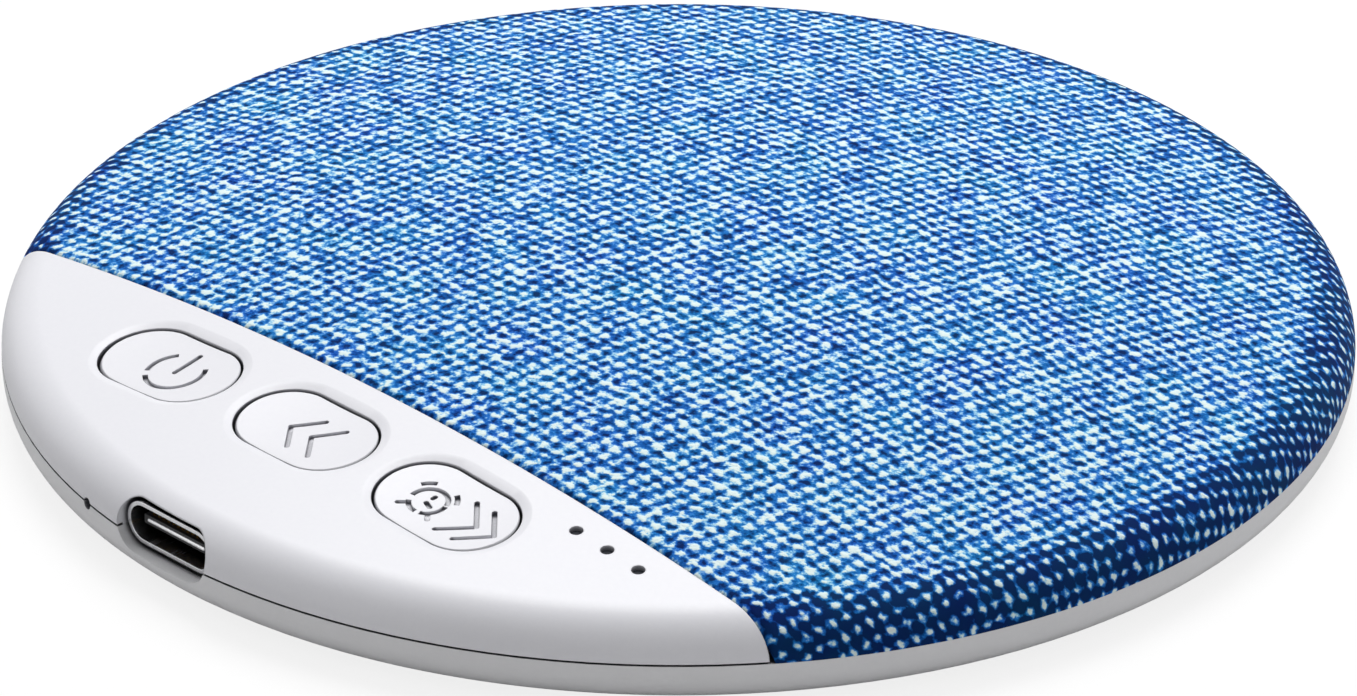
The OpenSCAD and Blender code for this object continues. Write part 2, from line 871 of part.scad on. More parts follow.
module lead(points) {
  q = lead_path(points);
  n = lead_sides;
  rings = [for (i = [0:len(q) - 1]) each lead_ring(q, i)];
  walls = [
    for (i = [0:len(q) - 2]) for (k = [0:n - 1])
      [i * n + k, i * n + (k + 1) % n, (i + 1) * n + (k + 1) % n, (i + 1) * n + k],
  ];
  ends = [
    [for (k = [n - 1:-1:0]) k],
    [for (k = [0:n - 1]) (len(q) - 1) * n + k],
  ];
  polyhedron(points = rings, faces = concat(walls, ends), convexity = 4);
}

module battery_lead(side) {
  plug_back = [plug_x + side * lead_pitch / 2, plug_y + plug_size[1] / 2, board_top_z + plug_size[2] / 2];
  cell_end = -battery_l / 2 - terrace_l;
  solder_y = battery_y - 2.5 - side * 1.5;
  solder = [cell_end + terrace_l / 2, solder_y, terrace_top_z + protection_t + lead_d / 2];
  lead([
    plug_back, plug_back + [0, 0.7, 0], plug_back + [0, 1.4, 0],
    [cell_end - 1.1 + 0.7 * side, battery_front_y + 0.8, solder[2] - 1.4],
    [cell_end - 1.4 + 0.7 * side, solder[1] - 1.5, solder[2] - 0.4],
    solder + [-1.1, 0, 0.15], solder,
  ]);
}

module battery_lead_red() {
  color([0.75, 0.08, 0.08]) battery_lead(1);
}

module battery_lead_black() {
  color([0.07, 0.07, 0.08]) battery_lead(-1);
}

// Loudspeaker

module at_speaker(h) {
  translate([0, speaker_y, inner_floor_z + h]) children();
}

module speaker_frame() {
  color([0.20, 0.20, 0.22]) at_speaker(coil_low) difference() {
    union() {
      ring(yoke_r + screw_gap, frame_wall_r, frame_t);
      ring(frame_wall_r - frame_t, frame_wall_r, flange_high - coil_low);
      translate([0, 0, flange_high - coil_low - frame_t]) ring(frame_wall_r - frame_t, frame_r, frame_t);
    }
    for (a = [0:60:300]) rotate(a + 30) translate([(yoke_r + frame_wall_r - frame_t) / 2, 0, -past])
      cylinder(d = frame_wall_r - frame_t - yoke_r - 2 * vent_land, h = frame_t + 2 * past);
  }
}

module speaker_yoke() {
  color([0.55, 0.56, 0.58]) at_speaker(0) {
    cylinder(r = yoke_r, h = yoke_base);
    ring(yoke_r - yoke_wall, yoke_r, yoke_h);
  }
}

module speaker_magnet() {
  color([0.70, 0.71, 0.73]) at_speaker(yoke_base) cylinder(r = magnet_r, h = yoke_h - plate_t - yoke_base);
}

module speaker_top_plate() {
  color([0.60, 0.61, 0.63]) at_speaker(yoke_h - plate_t) cylinder(r = plate_r, h = plate_t);
}

module voice_coil() {
  color([0.72, 0.42, 0.20]) at_speaker(coil_low) ring(coil_r, coil_r + coil_t, cone_low - coil_low);
}

module speaker_cone() {
  inner = coil_r - pin_gap;
  seat = coil_r + 2 * coil_t;
  rim = cone_r - cone_lip;
  rim_low = flange_high - cone_t;
  color([0.12, 0.12, 0.13]) at_speaker(0) rotate_extrude() polygon([
    [inner, cone_low], [seat, cone_low], [rim, rim_low], [cone_r, rim_low],
    [cone_r, flange_high], [rim, flange_high], [seat, cone_low + cone_t], [inner, cone_low + cone_t],
  ]);
}

module surround() {
  color([0.09, 0.09, 0.10]) at_speaker(flange_high) rotate_extrude() {
    intersection() {
      translate([roll_x, 0]) difference() {
        circle(r = roll_r + surround_t / 2);
        circle(r = roll_r - surround_t / 2);
      }
      square([frame_r, frame_r]);
    }
    translate([cone_r - surround_lap, 0]) square([surround_lap, surround_t]);
    translate([roll_x + roll_r, 0]) square([frame_r - roll_x - roll_r, surround_t]);
  }
}

module dust_cap() {
  cap_r = coil_r + coil_t;
  ball_r = (cap_r * cap_r + dust_cap_h * dust_cap_h) / (2 * dust_cap_h);
  color([0.10, 0.10, 0.11]) at_speaker(cone_low + cone_t) rotate_extrude() intersection() {
    translate([0, dust_cap_h - ball_r]) difference() {
      circle(r = ball_r, $fn = 180);
      circle(r = ball_r - cone_t, $fn = 180);
    }
    square([cap_r, dust_cap_h]);
  }
}

module speaker_gasket() {
  color([0.12, 0.12, 0.12]) at_speaker(flange_high + surround_t) ring(gasket_in_r, frame_r, gasket_t);
}

module speaker_terminals() {
  color([0.45, 0.30, 0.16]) at_speaker(terminal_low) difference() {
    translate([0, -terminal_w / 2, 0]) cube([frame_wall_r + terminal_reach, terminal_w, terminal_t]);
    translate([0, 0, -past]) cylinder(r = frame_wall_r, h = terminal_t + 2 * past);
  }
}

// The leads run round the cell's end to two pads at the board's back edge
module speaker_lead(side) {
  solder = [
    frame_wall_r + terminal_reach - 1.2, speaker_y + side * 1.2,
    inner_floor_z + terminal_low + terminal_t + lead_d / 2,
  ];
  pad = [22.1 + side * 0.8, board_back_y - 1.4, board_top_z + lead_d / 2];
  way_x = battery_l / 2 + 3 + side * 0.6;
  lead([
    solder, solder + [1.8, -0.4, 0], [frame_r + 5.4 + side * 0.6, speaker_y - 5, inner_floor_z + 2],
    [way_x, battery_front_y + 17.3, inner_floor_z + 1], [way_x, battery_front_y + 7.3, inner_floor_z + 1.2],
    [way_x - 1, battery_front_y + 0.3, board_top_z + 0.8], pad + [0.4, 1.5, 0.25], pad,
  ]);
}

module speaker_lead_red() {
  color([0.75, 0.08, 0.08]) speaker_lead(1);
}

module speaker_lead_black() {
  color([0.07, 0.07, 0.08]) speaker_lead(-1);
}

// Screws and feet

module case_screws() {
  cross = [1.9, 0.45, head_h / 2];
  head_z = head_seat_z - head_h;
  shank_z = head_seat_z - head_h / 2;
  color([0.50, 0.51, 0.53]) at_screws() difference() {
    union() {
      translate([0, 0, head_z]) cylinder(d = head_d, h = head_h);
      translate([0, 0, shank_z]) cylinder(d = screw_d, h = screw_top_z - shank_z);
    }
    for (a = [0, 90]) rotate(a) block([0, 0], cross, head_z - pin_gap);
  }
}

module rubber_feet() {
  bevel = 0.25;
  color([0.70, 0.70, 0.72]) at_screws() {
    cylinder(d1 = foot_d - 2 * bevel, d2 = foot_d, h = bevel);
    translate([0, 0, bevel]) cylinder(d = foot_d, h = foot_proud + foot_pocket - bevel);
  }
}

bottom_shell();
control_panel();
grille_plate();
fabric_cover();
power_button();
back_button();
forward_button();
plunger(button_xs[0]);  // power_plunger
plunger(button_xs[1]);  // back_plunger
plunger(button_xs[2]);  // forward_plunger
switch(button_xs[0]);  // power_switch
switch(button_xs[1]);  // back_switch
switch(button_xs[2]);  // forward_switch
main_board();
port_shell();
port_tongue();
port_contacts();
radio_chip();
amplifier_chip();
charger_chip();
crystal();
inductor();
chip_capacitors();
antenna();
timer_led(0);  // timer_led_30
timer_led(1);  // timer_led_60
timer_led(2);  // timer_led_90
light_shield();
light_guide();
microphone();
microphone_boot();
battery();
protection_board();
battery_foam();
battery_socket();
battery_plug();
battery_lead_red();
battery_lead_black();
speaker_frame();
speaker_yoke();
speaker_magnet();
speaker_top_plate();
voice_coil();
speaker_cone();
surround();
dust_cap();
speaker_gasket();
speaker_terminals();
speaker_lead_red();
speaker_lead_black();
case_screws();
rubber_feet();
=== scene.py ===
"""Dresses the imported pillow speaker: cloth, moulded plastics, metals, floor, lights and camera."""

import math

import bpy
import numpy as np
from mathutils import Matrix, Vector


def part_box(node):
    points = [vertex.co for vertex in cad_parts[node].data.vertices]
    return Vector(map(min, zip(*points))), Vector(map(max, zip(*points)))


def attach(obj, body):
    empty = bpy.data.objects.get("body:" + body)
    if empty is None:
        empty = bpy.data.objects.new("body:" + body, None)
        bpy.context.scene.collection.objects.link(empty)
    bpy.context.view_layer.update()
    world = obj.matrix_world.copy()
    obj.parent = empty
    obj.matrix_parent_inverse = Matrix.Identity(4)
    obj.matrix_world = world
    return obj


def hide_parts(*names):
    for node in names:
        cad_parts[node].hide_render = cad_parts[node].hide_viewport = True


bl_info = {
    "name": "Pillow speaker",
    "version": (1, 0, 0),
    "blender": (4, 5, 0),
    "location": "View3D > Sidebar > Speaker",
    "description": "Builds the cloth, the finishes and the studio of a slim pillow speaker",
    "category": "Object",
}

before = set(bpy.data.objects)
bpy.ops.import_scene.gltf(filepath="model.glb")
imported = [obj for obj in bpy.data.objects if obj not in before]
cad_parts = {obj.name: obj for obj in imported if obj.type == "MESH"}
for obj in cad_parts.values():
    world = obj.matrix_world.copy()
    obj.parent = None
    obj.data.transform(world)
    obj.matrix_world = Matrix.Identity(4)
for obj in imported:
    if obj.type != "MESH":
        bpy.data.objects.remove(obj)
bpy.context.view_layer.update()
SHELL_LOW, SHELL_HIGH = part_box("bottom_shell")
CLOTH_LOW, CLOTH_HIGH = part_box("fabric_cover")

MM = 0.001

# How much of the cloth its UV map spans from edge to edge
UV_SPAN = 120 * MM

# The camera that fits the photo's parting line, outline and buttons. Its distance is in case
# radii, and its focal length and the photo's width are in photo pixels.
CAMERA_AZIMUTH = math.radians(46.16)
CAMERA_ELEVATION = math.radians(28.04)
CAMERA_TILT = 0.0016
CAMERA_DISTANCE = 16
FOCAL_LENGTH = 10816
PHOTO_WIDTH = 1357
SENSOR = 36

# Name, place, side and power of each softbox. All face the object.
SOFTBOXES = (
    ("Overhead softbox", (-0.24, 0.3, 0.8), 0.6, 7.3),
    ("Front left softbox", (-0.1, -0.72, 0.06), 0.3, 0.5),
    ("Back right softbox", (0.72, 0.28, 0.12), 0.3, 0.6),
)

# Half the side of the floor, its colour, how strongly it glows to the camera, and that glow's
# share of what the camera sees of it
FLOOR_HALF = 3.0
PAPER = "#D2D2D2"
GLOW = 1.16
GLOW_SHARE = 0.72

# Strength of the white surroundings as a light. The camera and reflections see them at 1.
SKY_LIGHT = 0.22

# Painted shade in the depth of a hole: its nearly black colour, how far under the least light of
# the painted shade in a groove it starts, and the light at which it is complete
PAINTED_HOLE_SHADE = "#0C0C0E"
PAINTED_HOLE_SHADE_STEP = 0.12
PAINTED_HOLE_SHADE_LIGHT = 0.1

# Smallest length that is divided by, in metres
TINY = 1e-9


# Sizes and colours


class SpeakerSizes(bpy.types.PropertyGroup):
    """Sizes of the pieces and patterns."""

    case_radius: bpy.props.FloatProperty(
        name="Case radius", description="Radius of the case at the parting line",
        default=(SHELL_HIGH.x - SHELL_LOW.x) / 2, unit="LENGTH", subtype="DISTANCE",
    )
    seam_height: bpy.props.FloatProperty(
        name="Parting line", description="Height of the parting line",
        default=CLOTH_LOW.z, unit="LENGTH", subtype="DISTANCE",
    )
    crown_height: bpy.props.FloatProperty(
        name="Crown", description="Height of the middle of the cloth",
        default=CLOTH_HIGH.z, unit="LENGTH", subtype="DISTANCE",
    )
    rim_radius: bpy.props.FloatProperty(
        name="Rim radius", description="Radius of the rounded rim above the parting line",
        default=3.5 * MM, unit="LENGTH", subtype="DISTANCE",
    )
    base_edge_radius: bpy.props.FloatProperty(
        name="Base edge", description="Radius of the lower edge of the base",
        default=2.5 * MM, unit="LENGTH", subtype="DISTANCE",
    )
    border: bpy.props.FloatProperty(
        name="Border", description="Distance from the centre to the edge of the cloth",
        default=-CLOTH_LOW.y, unit="LENGTH", subtype="DISTANCE",
    )
    cloth_thickness: bpy.props.FloatProperty(
        name="Cloth thickness", description="Thickness of the knitted cloth",
        default=0.6 * MM, unit="LENGTH", subtype="DISTANCE",
    )
    cloth_edge: bpy.props.FloatProperty(
        name="Cloth edge", description="Radius with which the cloth turns under at the border",
        default=0.5 * MM, unit="LENGTH", subtype="DISTANCE",
    )
    stitch_width: bpy.props.FloatProperty(
        name="Stitch width", description="Distance between the columns of stitches",
        default=1.27 * MM, unit="LENGTH", subtype="DISTANCE",
    )
    stitch_height: bpy.props.FloatProperty(
        name="Stitch height", description="Distance between the rows of stitches",
        default=1.07 * MM, unit="LENGTH", subtype="DISTANCE",
    )
    stitch_lean: bpy.props.FloatProperty(
        name="Stitch lean", description="Lean of the columns of stitches from square to the border",
        default=math.radians(8.5), subtype="ANGLE", unit="ROTATION",
    )
    stitch_wander: bpy.props.FloatProperty(
        name="Wander", description="How far the rows wander from straight lines",
        default=1.6 * MM, unit="LENGTH", subtype="DISTANCE",
    )


class SpeakerColours(bpy.types.PropertyGroup):
    """Colours, as sRGB hex values."""

    yarn_white: bpy.props.StringProperty(
        name="White yarn", description="The undyed yarn of the cloth", default="#EEFFFF")
    yarn_pale: bpy.props.StringProperty(
        name="Pale yarn", description="White yarn with blue fibres in it", default="#A2D8F9")
    yarn_blue: bpy.props.StringProperty(
        name="Blue yarn", description="The dyed yarn of the cloth", default="#2C82DA")
    yarn_deep: bpy.props.StringProperty(
        name="Deep blue", description="Dyed yarn that lies lower in the cloth", default="#115DAF")
    yarn_shade: bpy.props.StringProperty(
        name="Holes", description="The shaded holes between the stitches", default="#052C60")
    panel_white: bpy.props.StringProperty(
        name="Panel", description="The moulded plastic of the panel and the buttons", default="#F1F1F6")
    base_grey: bpy.props.StringProperty(
        name="Base", description="The moulded plastic of the base", default="#F0F0F2")


# Meshes


def grid_faces(rows, columns):
    """Quads of a grid whose columns close on themselves: point (i, j) has number i * columns + j."""
    i, j = np.meshgrid(np.arange(rows - 1), np.arange(columns), indexing="ij")
    k = (j + 1) % columns
    quads = np.stack([i * columns + j, i * columns + k, (i + 1) * columns + k, (i + 1) * columns + j], -1)
    return quads.reshape(-1, 4)


def new_piece(name, mesh, body, material, replaces=()):
    """Makes an object of a mesh at the origin with a material, hangs it under its body's empty, and hides
    the CAD parts that it replaces.
    """
    piece = bpy.data.objects.new(name, mesh)
    bpy.context.scene.collection.objects.link(piece)
    mesh.materials.append(material)
    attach(piece, body)
    if replaces:
        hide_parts(*replaces)
    return piece


def radius_and_way_out(p):
    """Distance of points from the disc's axis, and the level unit vectors away from it."""
    radius = np.hypot(p[..., 0], p[..., 1])
    return radius, p[..., :2] / np.maximum(radius, TINY)[..., None]


class Crown:
    """The outer face over the parting line: a shallow dome that runs on into the rounded rim. The
    dome's radius is the one at which the two arcs touch, because the way between their centres is
    then the difference of their radii."""

    def __init__(self, sizes):
        self.seam, self.rim = sizes.seam_height, sizes.rim_radius
        rise = sizes.crown_height - self.seam
        self.rim_x = sizes.case_radius - self.rim
        self.dome = (self.rim_x**2 + rise**2 - self.rim**2) / (2 * (rise - self.rim))
        self.dome_z = sizes.crown_height - self.dome
        self.turn = math.asin(self.rim_x / (self.dome - self.rim))
        self.dome_length = self.dome * self.turn
        self.length = self.dome_length + self.rim * (math.pi / 2 - self.turn)

    def at(self, s):
        """Radius and height at a path length s from the middle: the dome's arc, then the rim's arc."""
        tilt = s / self.dome
        lean = self.turn + (s - self.dome_length) / self.rim
        on_dome = s < self.dome_length
        radius = np.where(on_dome, self.dome * np.sin(tilt), self.rim_x + self.rim * np.sin(lean))
        rim_height = self.seam + self.rim * np.cos(lean)
        height = np.where(on_dome, self.dome_z + self.dome * np.cos(tilt), rim_height)
        return radius, height

    def length_at(self, radius):
        """Path length at which the face reaches a radius, read back from a fine table of at()."""
        steps = 4000
        table = np.linspace(0, self.length, steps)
        return np.interp(radius, self.at(table)[0], table)

    def error_and_normal(self, p):
        """Distance of points from the face, and the face's normal there, both told from the dome's
        centre, or from the rim's centre past the place where the arcs touch."""
        radius, out = radius_and_way_out(p)
        up = p[..., 2] - self.dome_z
        far = np.hypot(radius, up)
        dome_error, dome_normal = np.abs(far - self.dome), np.stack([radius / far, up / far], -1)
        side, rise = radius - self.rim_x, p[..., 2] - self.seam
        near = np.maximum(np.hypot(side, rise), TINY)
        rim_error, rim_normal = np.abs(near - self.rim), np.stack([side / near, rise / near], -1)
        on_rim = radius > self.dome * math.sin(self.turn)
        normal = np.where(on_rim[..., None], rim_normal, dome_normal)
        normal = np.concatenate([out * normal[..., :1], normal[..., 1:]], -1)
        return np.where(on_rim, rim_error, dome_error), normal


class Base:
    """The outer face under the parting line: an upright wall that runs on into the rounded edge."""

    def __init__(self, sizes):
        self.edge = sizes.base_edge_radius
        self.edge_x = sizes.case_radius - self.edge
        self.edge_z = SHELL_LOW.z + self.edge

    def error_and_normal(self, p):
        """Distance of points from the wall or the edge, and the normal there: away from the centre of
        the edge's arc, and level above it. Points nearer the axis than that centre are on neither."""
        inside = -1e-6
        radius, out = radius_and_way_out(p)
        side = radius - self.edge_x
        drop = np.minimum(p[..., 2] - self.edge_z, 0)
        near = np.maximum(np.hypot(side, drop), TINY)
        error = np.where(side > inside, np.abs(near - self.edge), 1.0)
        return error, np.concatenate([out * (side / near)[..., None], (drop / near)[..., None]], -1)


class Dish:
    """The hollow top of a button: part of a ball, with its normals towards the ball's centre."""

    def __init__(self, centre, radius):
        self.centre, self.radius = centre, radius

    def error_and_normal(self, p):
        """Distance of points from the ball, and the hollow's normal there."""
        away = self.centre - p
        far = np.linalg.norm(away, axis=-1)
        return np.abs(far - self.radius), away / far[..., None]


def dressed_copy(node, faces=()):
    """A merged copy of a CAD node's mesh. Its corners get smooth normals up to the angle of a crease,
    and those of triangles on one of the exact faces get that face's own normals, so that the light
    runs evenly over it. Such a triangle has its corners on the face and looks much the same way."""
    merge_within = 1e-7
    crease = math.radians(32)
    on_face_within = 4e-6
    same_way = 0.7

    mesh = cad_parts[node].data.copy()
    mesh.validate()
    points = np.empty(len(mesh.vertices) * 3, np.float32)
    mesh.vertices.foreach_get("co", points)
    points = points.reshape(-1, 3).astype(float)
    triangles = np.empty(len(mesh.loops), np.int32)
    mesh.loops.foreach_get("vertex_index", triangles)
    bpy.data.meshes.remove(mesh)

    cells = np.round(points / merge_within).astype(np.int64)
    _, first, same = np.unique(cells, axis=0, return_index=True, return_inverse=True)
    points, triangles = points[first], same.ravel()[triangles].reshape(-1, 3)
    a, b, c = triangles.T
    triangles = triangles[(a != b) & (b != c) & (c != a)]

    made = bpy.data.meshes.new(node + "_merged")
    made.from_pydata(points, [], triangles)
    made.shade_smooth()
    made.set_sharp_from_angle(angle=crease)
    normals = np.empty(len(made.loops) * 3, np.float32)
    made.corner_normals.foreach_get("vector", normals)
    normals = normals.reshape(-1, 3, 3)
    corners = points[triangles]
    flat = np.cross(corners[:, 1] - corners[:, 0], corners[:, 2] - corners[:, 0])
    flat /= np.maximum(np.linalg.norm(flat, axis=1), TINY**2)[:, None]
    for face in faces:
        error, exact = face.error_and_normal(corners)
        on_face = (error.max(1) < on_face_within) & ((exact.mean(1) * flat).sum(1) > same_way)
        normals[on_face] = exact[on_face]
    made.normals_split_custom_set(normals.reshape(-1, 3))
    return made


def plate_edge(reach, y, z, radius):
    """A round edge along X with round ends: at an angle t from an end's pole the surface is
    radius * (1 - cos t) inwards of the end, and its ring is radius * sin t wide."""
    columns, end_rings = 24, 6
    t = np.linspace(0, np.pi / 2, end_rings + 1)[1:]
    inwards = radius * (1 - np.cos(t))
    x = np.concatenate([reach[0] + inwards, reach[1] - inwards[::-1]])
    wide = radius * np.concatenate([np.sin(t), np.sin(t[::-1])])
    turn = np.linspace(0, 2 * np.pi, columns, endpoint=False)
    ring_y, ring_z = y + wide[:, None] * np.cos(turn), z + wide[:, None] * np.sin(turn)
    rings = np.stack([np.repeat(x[:, None], columns, 1), ring_y, ring_z], -1).reshape(-1, 3)
    points = np.concatenate([rings, [[reach[0], y, z], [reach[1], y, z]]])

    # A fan closes each end over its pole
    ring = np.arange(columns)
    after = (ring + 1) % columns
    last = len(rings) - columns
    start = np.stack([np.full(columns, len(rings)), after, ring], -1)
    end = np.stack([np.full(columns, len(rings) + 1), last + ring, last + after], -1)
    sides = grid_faces(len(x), columns)
    mesh = bpy.data.meshes.new("plate_edge")
    mesh.from_pydata(points, [], [*start.tolist(), *end.tolist(), *sides.tolist()])
    mesh.shade_smooth()
    return mesh


def cloth_surface(sizes, crown):
    """Points of the cloth's outer side, their places on the flat cloth, and its faces. A point lies at
    a share of the way from the middle to the edge, at one of the angles round it, and the flat place
    is at the same angle and as far from the middle as the way over the cloth."""
    columns, rows, turned = 360, 72, 14
    crowding = 1.7

    # How much is turned under, and how far over the grille plate's underside it stops at the border
    fold = 1.8 * MM
    hem_rise = 0.6 * MM

    angle = np.linspace(0, 2 * np.pi, columns, endpoint=False) - np.pi / 2
    towards = np.maximum(-np.sin(angle), TINY)
    reach = np.minimum(sizes.border / towards, sizes.case_radius)
    at_border = reach < sizes.case_radius
    end = np.where(at_border, crown.length_at(reach), crown.length)

    # Rows lie closer together towards the edge: the share of the way is 1 - (1 - t) ** crowding
    t = np.linspace(0, 1, rows)[1:]
    share = 1 - (1 - t) ** crowding
    s = share[:, None] * end[None, :]
    radius, height = crown.at(s)
    x, y = radius * np.cos(angle), radius * np.sin(angle)

    # At the border the cloth rolls down by e - sqrt(e * e - (e - d) * (e - d)) at a distance d
    e = sizes.cloth_edge
    d = np.clip(y + sizes.border, 0, e)
    height = height - np.where(at_border, e - np.sqrt(np.maximum(e * e - (e - d) ** 2, 0)), 0)

    # At the border the turned part goes down the wall and then in under it, and along the rim it
    # goes straight inwards
    low = np.minimum(height[-1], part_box("grille_plate")[0].z + hem_rise)
    u = np.linspace(0, 1, turned)[1:, None]
    down = np.minimum(u * 2, 1)
    back = np.maximum(u * 2 - 1, 0)
    wall_x = np.repeat(x[-1:], turned - 1, 0)
    wall_y = y[-1:] + back * fold
    wall_z = height[-1:] + (low - height[-1:]) * down
    rim_radius = sizes.case_radius - u * fold
    rim_x, rim_y = rim_radius * np.cos(angle), rim_radius * np.sin(angle)
    rim_z = np.repeat(height[-1:], turned - 1, 0)
    turn_x = np.where(at_border, wall_x, rim_x)
    turn_y = np.where(at_border, wall_y, rim_y)
    turn_z = np.where(at_border, wall_z, rim_z)
    beyond = np.hypot(height[-1:] - turn_z, np.hypot(turn_x - x[-1:], turn_y - y[-1:]))

    x, y, z = np.vstack([x, turn_x]), np.vstack([y, turn_y]), np.vstack([height, turn_z])
    points = np.concatenate([[[0, 0, sizes.crown_height]], np.stack([x, y, z], -1).reshape(-1, 3)])
    way = np.vstack([s, end[None, :] + beyond])
    spread = np.stack([way * np.cos(angle), way * np.sin(angle)], -1).reshape(-1, 2)
    places = np.concatenate([[[0, 0]], spread])

    # A fan round the middle, then quads that face outwards
    ring = np.arange(columns)
    fan = np.stack([np.zeros(columns, int), ring + 1, (ring + 1) % columns + 1], -1)
    quads = grid_faces(rows + turned - 2, columns)[:, ::-1] + 1
    return points, places, [*fan.tolist(), *quads.tolist()]


# Materials


def linear(colour):
    """sRGB hex to linear red, green, blue and alpha."""
    c = np.array([int(colour[i:i + 2], 16) for i in (1, 3, 5)]) / 255
    c = np.where(c <= 0.04045, c / 12.92, ((c + 0.055) / 1.055) ** 2.4)
    return (*c, 1.0)


def add(tree, kind, inputs=None, **settings):
    """Adds a node of a kind. An input is a value, or another node or socket that is linked in."""
    made = tree.nodes.new(kind)
    for key, value in settings.items():
        setattr(made, key, value)
    for key, value in (inputs or {}).items():
        if isinstance(value, bpy.types.Node):
            value = next(output for output in value.outputs if output.enabled)
        if isinstance(value, bpy.types.NodeSocket):
            tree.links.new(value, made.inputs[key])
        else:
            made.inputs[key].default_value = value
    return made


def empty_material(name):
    """A new material and its empty tree."""
    material = bpy.data.materials.new(name)
    material.use_nodes = True
    material.node_tree.nodes.clear()
    return material, material.node_tree


def finish(
    name, colour, shade, grain, rough,
    bump=0.0, stretch=(1, 1, 1), edge=0.0, painted_shade=None, **sockets,
):
    """A solid material of one colour that drifts to a second one in a grain of a size in mm, with a
    roughness between two values, a bump in mm and edges softened by a radius in mm. A painted shade
    is a third colour laid where walls shut the light out, the reach in mm within which they do so,
    and the shares of the light between which that colour sets in. Deep holes get a nearly black
    painted shade."""
    material, tree = empty_material(name)
    place = add(tree, "ShaderNodeTexCoord").outputs["Object"]
    scale = tuple(share / (grain * MM) for share in stretch)
    mapped = add(tree, "ShaderNodeMapping", {"Vector": place, "Scale": scale})
    noise = add(tree, "ShaderNodeTexNoise", {"Vector": mapped, "Scale": 1.0, "Detail": 4.0})
    tint = add(tree, "ShaderNodeMix", {0: noise, 6: linear(colour), 7: linear(shade)}, data_type="RGBA")
    # Painted shade: where ambient occlusion finds walls near, the colour darkens to the dim colour, and
    # then nearly to black in deep holes
    if painted_shade:
        dim, reach, most, least = painted_shade
        reached = add(tree, "ShaderNodeAmbientOcclusion", {"Distance": reach * MM}, samples=8)
        light = reached.outputs["AO"]
        for tone, start, full in ((dim, most, least), (PAINTED_HOLE_SHADE, least - PAINTED_HOLE_SHADE_STEP, PAINTED_HOLE_SHADE_LIGHT)):
            share = add(tree, "ShaderNodeMapRange", {"Value": light, "From Min": start, "From Max": full})
            tint = add(tree, "ShaderNodeMix", {0: share, 6: tint, 7: linear(tone)}, data_type="RGBA")
    spread = add(tree, "ShaderNodeMapRange", {"Value": noise, "To Min": rough[0], "To Max": rough[1]})
    inputs = {"Base Color": tint, "Roughness": spread}
    if edge:
        inputs["Normal"] = add(tree, "ShaderNodeBevel", {"Radius": edge * MM}, samples=6)
    if bump:
        under = {key: inputs[key] for key in inputs if key == "Normal"}
        inputs["Normal"] = add(tree, "ShaderNodeBump", {"Height": noise, "Distance": bump * MM, **under})
    inputs.update((key.replace("_", " "), value) for key, value in sockets.items())
    body = add(tree, "ShaderNodeBsdfPrincipled", inputs)
    add(tree, "ShaderNodeOutputMaterial", {"Surface": body})
    return material


def knitted_loops(tree, place, step_x, step_y):
    """Height of the stitches at a place on the cloth. They stand in a slanted lattice of two steps, and
    the rows run along its diagonals. The height comes from two angles, along and across the rows,
    that go round once a stitch. The product of their cosines makes a chequer of raised loops and
    holes. The cosine of the angle across, swung to and fro by the cosine along, draws the loops a
    little into wavy rows."""
    loop_share, row_share = 0.95, 0.08

    # The change of the angles with the place, half a turn for each step of the lattice
    turns = np.linalg.inv(np.stack([step_x, step_y], 1)) * math.pi * UV_SPAN
    along_angle, across_angle = (
        add(tree, "ShaderNodeVectorMath", {0: place, 1: (*change, 0)}, operation="DOT_PRODUCT")
        for change in (turns[1] + turns[0], turns[1] - turns[0])
    )
    along = add(tree, "ShaderNodeMath", {0: along_angle}, operation="COSINE")
    across = add(tree, "ShaderNodeMath", {0: across_angle}, operation="COSINE")
    chequer = add(tree, "ShaderNodeMath", {0: along, 1: across}, operation="MULTIPLY")
    start = add(tree, "ShaderNodeMath", {0: across_angle, 1: math.pi / 2}, operation="SUBTRACT")
    swing = add(tree, "ShaderNodeMath", {0: along, 1: math.pi / 2, 2: start}, operation="MULTIPLY_ADD")
    wave = add(tree, "ShaderNodeMath", {0: swing}, operation="COSINE")
    rows = add(tree, "ShaderNodeMath", {0: wave, 1: row_share}, operation="MULTIPLY")
    return add(tree, "ShaderNodeMath", {0: chequer, 1: loop_share, 2: rows}, operation="MULTIPLY_ADD")


def rim_shade_share(tree, uv, crown):
    """Share of the painted shade towards the rim, from 0 on the dome to 1 on the rim, told by a
    place's way from the middle of the cloth."""
    start, full = crown.dome_length - 1.5 * MM, crown.dome_length + 2 * MM
    middle = add(tree, "ShaderNodeVectorMath", {0: uv, 1: (0.5, 0.5, 0)}, operation="SUBTRACT")
    way = add(tree, "ShaderNodeVectorMath", {0: middle}, operation="LENGTH").outputs["Value"]
    return add(tree, "ShaderNodeMapRange", {
        "Value": way, "From Min": start / UV_SPAN, "From Max": full / UV_SPAN, "To Max": 1.0,
    }, interpolation_type="SMOOTHSTEP")


